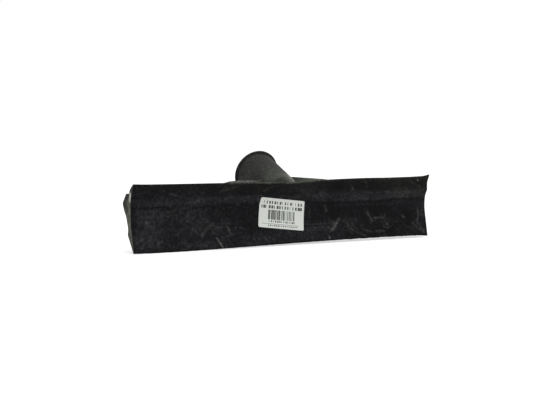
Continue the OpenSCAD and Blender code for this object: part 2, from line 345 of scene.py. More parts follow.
# %% Helpers: scuff strokes
def faint_strokes():
    """Many faint, curved strokes, scattered with a fixed seed."""
    draw = random.Random(SCUFF_SEED)
    strokes = []
    for count, span_x, span_z, slant in FAINT_SCATTER:
        for _ in range(count):
            heading = math.radians(slant + draw.uniform(-FAINT_TURN, FAINT_TURN))
            bend = math.radians(draw.uniform(-FAINT_BEND, FAINT_BEND))
            step = draw.uniform(*FAINT_LENGTH) / FAINT_STEPS
            x = draw.uniform(*span_x)
            z = draw.uniform(*span_z)
            chain = [(x, z)]
            for _ in range(FAINT_STEPS):
                x += step * math.cos(heading)
                z += step * math.sin(heading)
                heading += bend
                chain.append((x, z))
            strokes.append((draw.uniform(*FAINT_HALF_WIDTH), draw.uniform(*FAINT_STRENGTH), chain))
    return strokes


def distance_to(spots, starts, runs):
    """How far each spot lies from the nearest of several straight runs."""
    away = spots[:, None] - starts
    share = np.clip(np.sum(away * runs, axis=-1) / np.sum(runs * runs, axis=-1), 0, 1)
    return np.linalg.norm(away - share[..., None] * runs, axis=-1).min(axis=1)


def scuff_strength(places, front):
    """How scuffed each point of a piece is, from 0 to 1; only its front face takes strokes."""
    spots = places[:, [0, 2]]
    total = np.zeros(len(spots))
    for half, strength, chain in PLAIN_STROKES + faint_strokes():
        chain = np.array(chain)
        nearest = distance_to(spots, chain[:-1], np.diff(chain, axis=0))
        total = np.maximum(total, strength * np.exp(-(nearest / half) ** 2))
    return np.where(front, total, 0.0)


print(len(faint_strokes()), "faint strokes")

# %% [markdown]
# Shades of the face
#
# The black of the face isn't even. A paler band runs above the crease, where the rubber was rolled in
# the mould and faces the light: a painted highlight. The crease itself is a broken dark line of painted
# shade, the rounded upper edge carries a painted highlight where it catches the light, and the lowest
# rim is a thin dark line of painted shade. The cut ends are shaded too: a paler wedge where the spine
# meets the upper lip, and dark spots. They could be painted on, but one number per point, from soft
# windows in millimetres, says as well how much paler or darker the rubber is there, painted light and
# shade included. A seeded wobble keeps the windows' borders from being straight.

# %% Values and helpers: shades
# Rows of place along the blade, and a height or a tone there.
BAND_FOOT = [(20, 37.9), (36, 36.1), (100, 36.0), (114, 37.2), (150, 37.6)]
# The paler band above the crease is a painted highlight, where the rolled face turns to the light.
PAINTED_BAND_LIGHT = [(-150, 0.4), (-110, 0.5), (-75, 0.85), (-30, 0.85), (-20, 0.2), (15, 0.2), (35, 0.75),
             (60, 0.95), (110, 1.0), (140, 0.75), (150, 0.4)]
CREASE_Z = [(-150, 37.0), (-118, 36.9), (-110, 33.8), (-97, 33.8), (-94, 35.6), (-72, 34.9), (-62, 36.8),
            (-45, 36.4), (-28, 35.5), (22, 36.6), (36, 34.9), (60, 34.7), (100, 34.7), (114, 35.8),
            (150, 35.4)]
# The broken dark line along the crease is painted shade.
CREASE_PAINTED_SHADE = [(-150, -0.3), (-142, -0.9), (-122, -0.9), (-114, -0.3), (-108, -0.9), (-96, -0.8),
               (-84, -0.5), (-72, -0.5), (-66, -0.2), (-58, -0.7), (-40, -0.7), (-28, -0.3), (20, -0.5),
               (60, -0.8), (105, -1.0), (140, -1.0), (150, -0.4)]
# A painted highlight along the rounded upper edge, where it catches the light.
EDGE_HIGHLIGHT = [(-75, 0.0), (-58, 1.9), (-10, 2.1), (5, 3.0), (14, 2.6), (40, 2.0), (52, 1.2), (90, 1.2),
             (105, 0.7), (150, 0.7)]
# From and to along the blade, from and to up the face, and the tone.
# The paler patch along the foot of the face on the left, from -110 to -20 mm, is painted light, as the lower
# lip turns up there.
PATCHES = [
    (-56, -14, 45, 57, -0.7), (-4, 24, 46, 57, 0.5), (40, 150, 47, 53.5, -0.5), (-110, -20, 0, 9, 0.3),
    (20, 110, 20, 33, -0.3), (-150, -124, 4, 35, 0.6), (-150, -134, -2, 14, 0.6), (-116, -95, 2, 34, 0.3),
    (-34, 28, 2, 13, 0.7), (50, 132, 2, 31, -0.7), (-160, -150, -2, 60, -1.2), (92, 118, 4, 22, -0.4),
    (-96, -80, 6, 22, -0.4),
]
# Middle of a spot on the cut ends, its size and its tone.
CAP_SPOTS = [
    (6.7, 47.8, 2.9, 3.2), (8.2, 44.0, 2.6, 1.2), (14.8, 47.2, 3.4, -2.3), (21.2, 41.6, 3.7, -2.5),
    (16.6, 37.6, 2.6, -1.0), (14.2, 34.6, 2.4, -0.9), (9.6, 24.0, 2.6, 0.4), (8.4, 34.0, 2.4, 0.5),
    (3.8, 54.6, 3.6, -1.4),
]
BAND_TOP = 44.8
BAND_SOFT = 2.2
CREASE_HALF = 1.0
PATCH_SOFT_X = 12.0
PATCH_SOFT_Z = 3.0
# Where the painted shade of the rim, the painted highlight on the upper edge or the tone of a spot starts,
# and where it is full.
RIM_SHADE_EASE = (1.3, 0.7)
EDGE_HIGHLIGHT_EASE = (56.2, 57.1)
SPOT_EASE = (1.5, 0.5)
RIGHT_END_SHARE = 0.5
# Size of the wobble, and how far it moves each border.
WOBBLE_MM = 9.0
WOBBLE_X = 5.0
WOBBLE_Z = 1.1
CREASE_WOBBLE = 0.4
HIGHLIGHT_WOBBLE = 0.3
SPOT_WOBBLE = 0.5


def window(v, low, high, soft):
    """1 between low and high, with soft borders."""
    return ease(v, low - soft / 2, low + soft / 2) * ease(v, high + soft / 2, high - soft / 2)


def shade(places, front):
    """How much paler or darker the rubber is at each point, painted light and shade included; 0 is its plain
    black.
    """
    x, y, z = places.T
    wobble = np.array([noise.noise(Vector(spot) / WOBBLE_MM) for spot in places.tolist()])
    wx = x + WOBBLE_X * wobble
    wz = z + WOBBLE_Z * wobble
    # Painted highlight on the band above the crease.
    tone = lookup(PAINTED_BAND_LIGHT, wx) * window(wz, lookup(BAND_FOOT, x), BAND_TOP, BAND_SOFT)
    # Painted shade along the crease.
    from_crease = z + CREASE_WOBBLE * wobble - lookup(CREASE_Z, x)
    tone += lookup(CREASE_PAINTED_SHADE, wx) * np.exp(-(from_crease / CREASE_HALF) ** 2)
    for x_low, x_high, z_low, z_high, amount in PATCHES:
        tone += amount * window(wx, x_low, x_high, PATCH_SOFT_X) * window(wz, z_low, z_high, PATCH_SOFT_Z)
    # The lowest rim of the front face takes a thin line of painted shade.
    tone = np.where(front, tone - ease(z, *RIM_SHADE_EASE), 0.0)
    # Painted highlight along the rounded upper edge.
    tone += lookup(EDGE_HIGHLIGHT, wx) * ease(z + HIGHLIGHT_WOBBLE * wobble, *EDGE_HIGHLIGHT_EASE)
    cut = np.where(np.abs(x) > half_width, np.where(x < 0, 1.0, RIGHT_END_SHARE), 0.0)
    for spot_y, spot_z, size, amount in CAP_SPOTS:
        away = np.hypot(y - spot_y, z - spot_z) / size + SPOT_WOBBLE * wobble
        tone += cut * amount * ease(away, *SPOT_EASE)
    return tone


print("shade uses", len(PATCHES), "patches on the face and", len(CAP_SPOTS), "spots on the ends")

# %% [markdown]
# Drawing a section out along the blade
#
# A loft joins copies of one section, station by station, into a closed skin with a cap at each end.
# Blender's curve bevel could do that too, but then the caps, the small chamfer round them and the
# surface data would be harder to reach. Each cap is a net of triangles with points inside it, not one
# big face, so that a shade can change across a cut end too. Every point keeps its place on the straight
# blade in millimetres, which the materials use so that no pattern slides when the rubber bends. It also
# keeps its scuff, its shade and how deep it lies inside a cut end. That depth and the chamfer go by the
# outline of the whole blade, so that two strips which are one moulding show no join on their ends.

# %% Helpers: meshes
SHARP_ANGLE = math.radians(38)


def quads(rows, size, closed=True):
    """Faces between neighbouring rows of points; a closed row runs on from its last point to its first."""
    faces = []
    for start in range(0, (rows - 1) * size, size):
        for k in range(size if closed else size - 1):
            a = start + k
            b = start + (k + 1) % size
            faces.append((a, b, b + size, a + size))
    return faces


def add_object(name, data):
    """Puts a mesh, a camera or a lamp in the scene under its own name."""
    added = bpy.data.objects.new(name, data)
    bpy.context.scene.collection.objects.link(added)
    return added


def make_piece(name, places, rest, faces):
    """A piece with outward faces, smooth but for sharp edges, that keeps its points' rest places."""
    mesh = bpy.data.meshes.new(name)
    mesh.from_pydata((places * MM).tolist(), [], faces)
    work = bmesh.new()
    work.from_mesh(mesh)
    bmesh.ops.recalc_face_normals(work, faces=work.faces)
    work.to_mesh(mesh)
    work.free()
    mesh.shade_smooth()
    mesh.set_sharp_from_angle(angle=SHARP_ANGLE)
    layer = mesh.attributes.new("rest_mm", "FLOAT_VECTOR", "POINT")
    layer.data.foreach_set("vector", np.asarray(rest, np.float32).ravel())
    return add_object(name, mesh)


def store(piece, name, values):
    """Keeps one number per point for the materials to read."""
    layer = piece.data.attributes.new(name, "FLOAT", "POINT")
    layer.data.foreach_set("value", np.asarray(values, np.float32))


print("3 closed rows of 4 points have", len(quads(3, 4)), "faces between them")

# %% Helpers: stations and caps
END_SKIN = 0.1
END_CHAMFER = 0.25
STATION_SPACING = 1.0
CAP_SPACING = 1.1
INSIDE_ONLY = 1
SAME_POINT = 1e-6
strip_half = half_width + END_SKIN


def stations():
    """Places along the blade, each with how far the section is drawn in there for the end chamfer."""
    inner_half = strip_half - END_CHAMFER
    inner = np.linspace(-inner_half, inner_half, math.ceil(2 * inner_half / STATION_SPACING) + 1)
    return [(-strip_half, END_CHAMFER)] + [(x, 0.0) for x in inner] + [(strip_half, END_CHAMFER)]


def depth_inside(spots, outline):
    """How far each spot lies from the nearest side of an outline."""
    return distance_to(spots, outline, np.roll(outline, -1, axis=0) - outline)


def cap_points(outline):
    """Grid points that an outline turns once round, clear of its sides."""
    steps = [np.arange(*span, CAP_SPACING) for span in zip(outline.min(axis=0), outline.max(axis=0))]
    spots = np.stack(np.meshgrid(*steps), axis=-1).reshape(-1, 2)
    away = spots[:, None] - outline
    angle = np.arctan2(away[..., 1], away[..., 0])
    turns = (np.roll(angle, -1, axis=1) - angle + math.pi) % (2 * math.pi) - math.pi
    inside = np.abs(turns.sum(axis=1)) > math.pi
    return spots[inside & (depth_inside(spots, outline) > CAP_SPACING / 2)]


def cap_triangles(outline, inner):
    """Triangles that fill an outline, as indices into outline and inner points together."""
    spots = [Vector(spot) for spot in np.concatenate([outline, inner])]
    count = len(outline)
    sides = [(k, (k + 1) % count) for k in range(count)]
    _, _, triangles, sources, _, _ = delaunay_2d_cdt(spots, sides, [], INSIDE_ONLY, SAME_POINT)
    return [tuple(sources[v][0] for v in triangle) for triangle in triangles]


print("a strip has", len(stations()), "stations")

# %% Helpers: loft a strip
CUT_END = 1
LEAN_DEPTH = 8.2
# Points this close to the whole blade's outline take the end chamfer.
SKIN_WITHIN = 0.2
# A point is on the front where its normal points forward and it follows the face nearly all the way.
FACES_FRONT = -0.2
FRONT_LEAN = 0.97


def lean_through(section):
    """How much each point of a section follows the front face: all of it at the front, none deep inside."""
    face = front_depth(0.0, section[:, 1]) + tip_front
    return np.clip(1 - (section[:, 0] - face) / (LEAN_DEPTH - face), 0, 1)


def loft_strip(name, section, whole, lean_of):
    """A closed strip with this section, out of true like the real one, with its surface data."""
    normals = section_normals(section)
    depth = depth_inside(section, whole)
    chamfered = normals * (depth < SKIN_WITHIN)[:, None]
    rows = [(x, section - chamfered * inset) for x, inset in stations()]
    row_count = len(rows)
    size = len(section)
    faces = quads(row_count, size)
    side_count = len(faces)
    inner = cap_points(section)
    triangles = cap_triangles(section, inner)
    end = row_count * size
    for first_side, first_inner in ((0, end), (end - size, end + len(inner))):
        where = [*range(first_side, first_side + size), *range(first_inner, first_inner + len(inner))]
        faces.extend(tuple(where[v] for v in triangle) for triangle in triangles)
    rows += [(-strip_half, inner), (strip_half, inner)]
    straight = np.concatenate([np.column_stack([np.full(len(ring), x), ring]) for x, ring in rows])
    lean = np.concatenate([lean_of(ring) for _, ring in rows])
    piece = make_piece(name, out_of_true(*straight.T, lean), straight, faces)
    for cap in piece.data.polygons[side_count:]:
        cap.material_index = CUT_END
    front = (normals[:, 0] < FACES_FRONT) & (lean_of(section) > FRONT_LEAN)
    front = np.concatenate([np.tile(front, row_count), np.zeros(2 * len(inner), bool)])
    inner_depth = depth_inside(inner, whole)
    store(piece, "depth_mm", np.concatenate([np.tile(depth, row_count), np.tile(inner_depth, 2)]))
    store(piece, "scuff", scuff_strength(straight, front))
    store(piece, "shade", shade(straight, front))
    print(name, "has", len(straight), "points, section of", size)
    return piece


halfway_in = np.array([[LEAN_DEPTH / 2, 0.0]])
print("halfway in at the foot, rubber follows the face by %.2f" % lean_through(halfway_in)[0])

# %% [markdown]
# The blade: spine and lower lip
#
# The thick spine hides the iron bar, and the lower lip hangs from it: hollow at the front, with a waist
# behind, then a heel that backs up the thin working edge. Spine and lip are one moulding. They could be
# two meshes that touch, but one mesh has no join below the bar, where the real rubber bends. It stands
# for two CAD solids, which stay in the physics model. The upper lip bends on its own, so it needs a mesh
# of its own. The two meet flush on the flat of the face, above the bar, where neither bends and the join
# can't be seen.

# %% Build the blade
SECTION_SPACING = 0.95
LIP_MARGIN = 0.9
EDGE_BACK = 0.75
TIP_BACK = 1.2
SEAM_BACK = 8.8
SEAM_Z = 45.0
TROUGH_Z = 49.7
SPINE_SWELL = 1.1
# Depth, height and radius of each corner.
BLADE_BACK = [
    (tip_front, 0.0, 0.35), (EDGE_BACK, 0.0, 0.35), (13.5, 13.9, 1.8), (12.1, 19.0, 5), (15.2, 26.0, 12),
    (17.0, 29.6, 6), (21.8, 34.7, 8), (spine_back + SPINE_SWELL, 40.4, 2.6), (16.6, 49.1, 2.2),
]
TROUGH = (SEAM_BACK, TROUGH_Z, 0.3)
SEAM = (SEAM_BACK, SEAM_Z, 0)
FLAP_BACK = [(7.0, 53.1, 3), (TIP_BACK, blade_top, 0.5)]
FLAP_TIP = (tip_front, blade_top, 0.45)


def front_points(high, low):
    """Corners of a section down its front face."""
    heights = np.linspace(high, low, math.ceil((high - low) / SECTION_SPACING) + 1)
    return [(front_depth(0.0, z) + tip_front, z, 0) for z in heights]


tip_to_edge = [FLAP_TIP] + front_points(blade_top - LIP_MARGIN, LIP_MARGIN)
seam_to_edge = front_points(SEAM_Z, LIP_MARGIN)
whole_section = rounded_section(tip_to_edge + BLADE_BACK + [TROUGH] + FLAP_BACK, SECTION_SPACING)
blade_section = rounded_section(seam_to_edge + BLADE_BACK + [TROUGH, SEAM], SECTION_SPACING)
blade = loft_strip("blade_body", blade_section, whole_section, lean_through)

# %% [markdown]
# The upper lip
#
# The upper lip is a wedge that thins to about two millimetres at its tip. Its front carries on the
# curve of the face, and its back runs down to the trough in front of the socket. A wedge of its own
# would do for a straight blade. The strip helper is used again, because the lip has to follow the blade:
# where the face leans back at the left end, the whole lip leans with it, its back most of the way.

# %% Build the upper lip
BACK_LEAN = 0.75
BACK_LEAN_OVER = 4.0


def flap_lean(section):
    """How much each point of the upper lip follows the front face; its back follows most of the way."""
    back = BACK_LEAN * ease(section[:, 1], SEAM_Z, SEAM_Z + BACK_LEAN_OVER)
    return np.maximum(lean_through(section), back)


tip_to_seam = [FLAP_TIP] + front_points(blade_top - LIP_MARGIN, SEAM_Z)
flap_section = rounded_section(tip_to_seam + [SEAM, TROUGH] + FLAP_BACK, SECTION_SPACING)
flap = loft_strip("upper_flap", flap_section, whole_section, flap_lean)

# %% [markdown]
# The socket
#
# The cone over the tube widens towards its mouth and ends in a round bead that keeps the rubber from
# tearing when a handle is pushed in. At its foot two low webs run from its sides along the spine. Cone
# and webs could be joined by a boolean, which leaves a hard line between them. One set of rings gives
# both. Each ring is a circle round the socket's axis, and near the foot its sides are drawn out to the
# web's length, with the height of circle or web, whichever is higher, and a small fillet between the
# two. The web's crest leaves the cone well behind the blade and comes forward as it runs out. The rings
# then turn over the mouth and run back down the bore, so the wall has its real thickness.

# %% Values and helpers: socket rings
AXIS_START = Vector((0, bar_high.y, bar_high.z))
AXIS_UP = Vector((0, -socket_axis.z, socket_axis.y))
SOCKET_LENGTH = 51.5
RING_POINTS = 216
# The web's crest: distance from the middle, place along the axis, and height to the right and left.
CREST_ACROSS = [12, 18.6, 30.5, 41.5, 53.8, 80]
CREST_T = [14, 11, 5, 3, 1.5, 0]
CREST_HEIGHT = {1: [9.6, 10.2, 11.1, 10.85, 10.1, 7.7], -1: [6.7, 7.95, 10.5, 11.7, 12.2, 7.7]}
BACK_SLOPE = 0.45
FRONT_SLOPE = 0.7
WEB_LEAST = 0.4
WEB_THIN = 6.0
WEB_SPREAD = math.radians(32)
SPREAD_POWER = 1.3
END_POWER = 8
# Under the axis a web is a share as high.
UNDER_ACROSS = [16, 28, 48]
UNDER_SHARE = [1.2, 0.8, 0.4]
FILLET = 2.0


def web_height(across, end, t, side):
    """Height of a web at this distance from the middle; it falls off either side of a crest."""
    past = t - np.interp(across, CREST_ACROSS, CREST_T)
    crest = np.interp(across, CREST_ACROSS, CREST_HEIGHT[side])
    line = crest - max(BACK_SLOPE * past, -FRONT_SLOPE * past)
    return max(WEB_LEAST, line) * math.sqrt(max(0.0, 1 - (across / end) ** END_POWER))


def ring(t, radius, reach, share=1.0, lean=0.0):
    """One ring round the axis; reach draws its sides out into webs, share scales it for the foot."""
    points = []
    centre = AXIS_START + socket_axis * t + Vector((lean * t / SOCKET_LENGTH, 0, 0))
    for k in range(RING_POINTS):
        angle = 2 * math.pi * k / RING_POINTS
        side = math.copysign(1, math.cos(angle))
        fold = math.asin(abs(math.sin(angle)))
        out = max(0.0, 1 - fold / WEB_SPREAD) ** SPREAD_POWER
        across = radius * math.cos(fold) + reach * out
        circle = math.sqrt(max(0.0, radius ** 2 - across ** 2))
        web = web_height(across, radius + reach, t, side) * ease(reach, 0, WEB_THIN)
        if angle > math.pi:
            web *= np.interp(across, UNDER_ACROSS, UNDER_SHARE)
        fillet = max(0.0, FILLET - abs(circle - web)) ** 2 / (4 * FILLET) * min(1.0, web / (2 * FILLET))
        rise = math.copysign(max(circle, web) + fillet, math.sin(angle))
        points.append(centre + (Vector((side * across, 0, 0)) + AXIS_UP * rise) * share)
    return points


crest_beside_cone = web_height(CREST_ACROSS[1], CREST_ACROSS[-1], CREST_T[1], 1)
print("a web's crest beside the cone is %.1f mm high" % crest_beside_cone)

# %% Build the socket
FOOT_RADIUS = 16.1
FOOT_DEPTH = 6.2
FOOT_DEGREES = (72, 60, 48, 36, 24, 12)
MOUTH_RADIUS = 19.9
RIM_LEAN = -0.35
RING_STEP = 0.7
CONE_END = 48.6
CONE_RINGS = 16
WEB_REACH = 64.0
WEB_FADE = 20.0
WEB_FADE_POWER = 1.8
BEAD_RADIUS = 1.15
BEAD_RING = 20.9
BEAD_DEGREES = range(-75, 91, 15)
CLEAR_OF_TUBE = 1.3
WALL_RADIUS = bore_radius + CLEAR_OF_TUBE
# Place along the axis and radius of the rings that turn in from the mouth's face to the bore.
MOUTH = [(SOCKET_LENGTH, 15.4), (51.35, 14.5), (50.9, 13.8), (50.2, 13.45), (49.2, WALL_RADIUS)]
BORE_TOP = 45.0
BORE_FLOOR = 5.4
BORE_RINGS = 8
rings = []
for angle in np.radians(FOOT_DEGREES):
    rings.append(ring(-FOOT_DEPTH * math.sin(angle), FOOT_RADIUS, WEB_REACH, share=math.cos(angle)))
for t in [*np.arange(0, WEB_FADE, RING_STEP), *np.linspace(WEB_FADE, CONE_END, CONE_RINGS)]:
    radius = FOOT_RADIUS + (MOUTH_RADIUS - FOOT_RADIUS) * t / SOCKET_LENGTH
    reach = WEB_REACH * max(0.0, 1 - t / WEB_FADE) ** WEB_FADE_POWER
    rings.append(ring(t, radius, reach, lean=RIM_LEAN))
for angle in np.radians(BEAD_DEGREES):
    t = SOCKET_LENGTH - BEAD_RADIUS + BEAD_RADIUS * math.sin(angle)
    rings.append(ring(t, BEAD_RING + BEAD_RADIUS * math.cos(angle), 0, lean=RIM_LEAN))
for t, radius in MOUTH + [(t, WALL_RADIUS) for t in np.linspace(BORE_TOP, BORE_FLOOR, BORE_RINGS)]:
    rings.append(ring(t, radius, 0))
socket_places = np.array([point for points in rings for point in points])
socket_count = len(socket_places)
socket_faces = quads(len(rings), RING_POINTS)
socket_faces.append(tuple(range(RING_POINTS)))
socket_faces.append(tuple(range(socket_count - RING_POINTS, socket_count)))
socket = make_piece("socket_rubber", socket_places, socket_places, socket_faces)
print("socket_rubber has", len(rings), "rings and", socket_count, "points")

# %% [markdown]
# Dust and painted light on the socket
#
# Dust gathers where nothing rubs it off: at the cone's foot and on the webs, and the webs also carry
# painted light where they are lit from above. A painted highlight sits in the corner between blade and
# cone, where the cone's foot catches the light. The bead at the mouth is darker with painted shade on
# its shaded side. A texture would need an unwrapped surface, so one number per point says how much
# dust and painted light lies there, as on the face.

# %% Lay the dust and painted light
# Places along the axis where the dust starts and where it is full.
FOOT_DUST_EASE = (24.0, 1.0)
# A painted highlight in the corner between blade and cone, where the cone's foot catches the light.
FOOT_HIGHLIGHT = (8.5, 10.5, 57.0)
FOOT_HIGHLIGHT_SIZE = 7.0
FOOT_HIGHLIGHT_LEVEL = 3.2
# On the webs, dust and painted light where they are lit from above.
WEB_DUST_AND_LIGHT = 1.2
WEB_DUST_AND_LIGHT_EASE = 14.0
# The bead is darker with painted shade on its shaded side.
BEAD_SHADE = -0.8
BEAD_SHADE_EASE = 1.0
BEAD_MARGIN = 0.5
BEAD_FROM = SOCKET_LENGTH - 2 * BEAD_RADIUS - BEAD_MARGIN
along_axis = (socket_places - np.array(AXIS_START)) @ np.array(socket_axis)
from_highlight = np.linalg.norm(socket_places - FOOT_HIGHLIGHT, axis=1) / FOOT_HIGHLIGHT_SIZE
dust_and_painted_light_there = ease(along_axis, *FOOT_DUST_EASE)
# Painted highlight at the cone's foot.
dust_and_painted_light_there += FOOT_HIGHLIGHT_LEVEL * np.exp(-from_highlight ** 2)
# Dust and painted light on the webs.
dust_and_painted_light_there += WEB_DUST_AND_LIGHT * ease(np.abs(socket_places[:, 0]), FOOT_RADIUS, FOOT_RADIUS + WEB_DUST_AND_LIGHT_EASE)
# Painted shade on the bead.
dust_and_painted_light_there += BEAD_SHADE * ease(along_axis, BEAD_FROM, BEAD_FROM + BEAD_SHADE_EASE)
store(socket, "dust_and_painted_light", dust_and_painted_light_there)
print("dust from %.1f to %.1f" % (dust_and_painted_light_there.min(), dust_and_painted_light_there.max()))

# %% [markdown]
# The paper label
#
# The label was stuck on by hand, a little crooked, across the crease. Paper can't follow a hollow, so
# it bridges the crease with a soft fold. A flat plane would float off the rubber, so the sheet
# is a fine grid laid on the face: each row is as wide as the label is there, which rounds the corners,
# and each point sits a hair in front of the face. A back and an edge make it a real, thin sheet.

# %% Values and helpers: label
LABEL_SIZE = (45.7, 26.5)
LABEL_CENTRE = (-5.7, 26.9)
LABEL_TURN = math.radians(-7)
LABEL_CORNER = 1.2
LABEL_COLUMNS = 60
STRAIGHT_ROWS = 34
CORNER_DEGREES = (30, 50, 70, 90)
PAPER_THICKNESS = 0.22
PAPER_LIFT = 0.06
PAPER_BRIDGE = 3.0
BRIDGE_SAMPLES = 13
half_u = LABEL_SIZE[0] / 2
half_v = LABEL_SIZE[1] / 2


def flat_label():
    """Rows of points on the flat label, closer together in its rounded corners."""
    corner = [half_v - LABEL_CORNER * (1 - math.sin(angle)) for angle in np.radians(CORNER_DEGREES)]
    straight = np.linspace(LABEL_CORNER - half_v, half_v - LABEL_CORNER, STRAIGHT_ROWS)
    rows = []
    for v in [-height for height in reversed(corner)] + list(straight) + corner:
        into_corner = max(0.0, abs(v) - half_v + LABEL_CORNER)
        cut = LABEL_CORNER - math.sqrt(max(0.0, LABEL_CORNER ** 2 - into_corner ** 2))
        rows.append([(u, v) for u in np.linspace(cut - half_u, half_u - cut, LABEL_COLUMNS + 1)])
    return np.array(rows)


def on_face(flat, lift):
    """Where points of the flat label lie once it is stuck on, this far in front of the face."""
    u, v = flat.T
    x = LABEL_CENTRE[0] + u * math.cos(LABEL_TURN) - v * math.sin(LABEL_TURN)
    z = LABEL_CENTRE[1] + u * math.sin(LABEL_TURN) + v * math.cos(LABEL_TURN)
    shifts = np.linspace(-PAPER_BRIDGE, PAPER_BRIDGE, BRIDGE_SAMPLES)
    bridged = np.mean([front_depth(0.0, z + shift) for shift in shifts], axis=0)
    y = np.minimum(bridged, front_depth(0.0, z)) + tip_front - lift
    return out_of_true(x, y, z, 1)


print("label of %.1f by %.1f mm" % LABEL_SIZE)

# %% Build the label
label_rows = flat_label()
row_count, row_size, _ = label_rows.shape
label_flat = label_rows.reshape(-1, 2)
sheet_size = len(label_flat)
label_faces = []
for face in quads(row_count, row_size, closed=False):
    a, b, c, d = (corner + sheet_size for corner in face)
    label_faces += [face, (a, d, c, b)]
index = np.arange(sheet_size).reshape(row_count, row_size)
rim = np.concatenate([index[0], index[1:, -1], index[-1, -2::-1], index[-2:0:-1, 0]]).tolist()
for a, b in zip(rim, rim[1:] + rim[:1]):
    label_faces.append((a, a + sheet_size, b + sheet_size, b))
paper_front = on_face(label_flat, PAPER_LIFT + PAPER_THICKNESS)
paper_back = on_face(label_flat, PAPER_LIFT)
label_rest = np.pad(np.tile(label_flat, (2, 1)), ((0, 0), (0, 1)))
label = make_piece("label_sheet", np.concatenate([paper_front, paper_back]), label_rest, label_faces)
print("label_sheet has", len(label_rest), "points")

# %% [markdown]
# Colours and nodes
#
# Colours are written as the sRGB hex values that a colour picker shows, and one function turns them
# into the linear values that Blender computes with. A second small function adds any node with its
# options, and sets its sockets or links them. It counts only the sockets that the options leave in use,
# so 0, 1 and 2 are the factor and the two colours of a mix, or the terms of a sum.

# %% Helpers: colour and node
def linear(hex_colour):
    """An sRGB hex colour as linear red, green, blue and alpha."""
    channels = [int(hex_colour[k:k + 2], 16) / 255 for k in (0, 2, 4)]
    return [c / 12.92 if c <= 0.04045 else ((c + 0.055) / 1.055) ** 2.4 for c in channels] + [1.0]


def node(tree, kind, sockets, **options):
    """Adds a node with its options; a socket takes a value, or a link from another node or its output."""
    made = tree.nodes.new("ShaderNode" + kind)
    for name, value in options.items():
        setattr(made, name, value)
    in_use = [socket for socket in made.inputs if socket.enabled]
    for key, value in sockets.items():
        target = in_use[key] if isinstance(key, int) else made.inputs[key]
        if isinstance(value, bpy.types.Node):
            value = next(output for output in value.outputs if output.enabled)
        if isinstance(value, bpy.types.NodeSocket):
            tree.links.new(value, target)
        else:
            target.default_value = value
    return made


def colour_stops(ramp, stops):
    """Gives a colour ramp its stops, each a place and a colour."""
    for place, _ in stops[1:-1]:
        ramp.color_ramp.elements.new(place)
    for element, (place, colour) in zip(ramp.color_ramp.elements, stops):
        element.position = place
        element.color = linear(colour)


def new_material(name):
    """An empty node material and its tree."""
    material = bpy.data.materials.new(name)
    material.use_nodes = True
    material.node_tree.nodes.clear()
    return material, material.node_tree


print("mid grey 808080 is", round(linear("808080")[0], 4), "linear")

# %% [markdown]
# Moulded black rubber
#
# The blade is natural rubber filled with carbon black, moulded against a plain steel tool. To the eye
# that is nearly black with a weak, wide sheen, clouded where wax and dust bloom to the surface and
# paler where it was rubbed. The lower half has a cold cast and the upper half an olive one, as bloom
# and dust do. Rubber has an index of refraction near 1.52, and an old moulded skin a roughness of about
# 0.6. A painted image could show all that. Noises of a known size in millimetres need no unwrapping:
# cloud, mottle and grain, together with the stored shade, run through one ramp from deep black to dust
# grey. The real grain is about a tenth of a millimetre, too fine to show, so it is drawn coarser.

# %% Black rubber: patterns
CLOUD_MM = 34.0
MOTTLE_MM = 2.8
GRAIN_MM = 0.9
FOLD_MM = 14.0
black_rubber, tree = new_material("moulded_black_rubber")
place = node(tree, "Attribute", {}, attribute_name="rest_mm").outputs["Vector"]
scuff = node(tree, "Attribute", {}, attribute_name="scuff").outputs["Fac"]
shade_at = node(tree, "Attribute", {}, attribute_name="shade").outputs["Fac"]
cloud = node(tree, "TexNoise", {"Vector": place, "Scale": 1 / CLOUD_MM, "Detail": 4.0})
mottle = node(tree, "TexNoise", {"Vector": place, "Scale": 1 / MOTTLE_MM, "Detail": 4.0, "Roughness": 0.65})
grain = node(tree, "TexNoise", {"Vector": place, "Scale": 1 / GRAIN_MM, "Detail": 3.0})
folds = node(tree, "TexNoise", {"Vector": place, "Scale": 1 / FOLD_MM, "Detail": 2.0, "Distortion": 1.6})
print("patterns of", CLOUD_MM, MOTTLE_MM, GRAIN_MM, "and", FOLD_MM, "mm")

# %% Black rubber: colour
CLOUD_SWING = 0.45
MOTTLE_SWING = 0.75
PLAIN_SHADE = -0.11
SHADE_STEP = 0.25
# The olive cast comes in over these heights, lower towards the right and moved up and down by the cloud.
OLIVE_EASE = (62.0, 78.0)
OLIVE_TO_RIGHT = 0.04
OLIVE_CLOUD = 40.0
RUBBER_RAMP = [(0.0, "050505"), (0.35, "161617"), (0.55, "232324"), (0.8, "363637"), (1.0, "4c4d4d")]
cloudy = node(tree, "MapRange", {"Value": cloud, "To Min": -CLOUD_SWING, "To Max": CLOUD_SWING}, clamp=False)
mottled = node(tree, "MapRange", {"Value": mottle, "To Min": PLAIN_SHADE - MOTTLE_SWING,
                                  "To Max": PLAIN_SHADE + MOTTLE_SWING}, clamp=False)
patchy = node(tree, "Math", {0: cloudy, 1: mottled}, operation="ADD")
speckled = node(tree, "Math", {0: grain, 1: patchy}, operation="ADD")
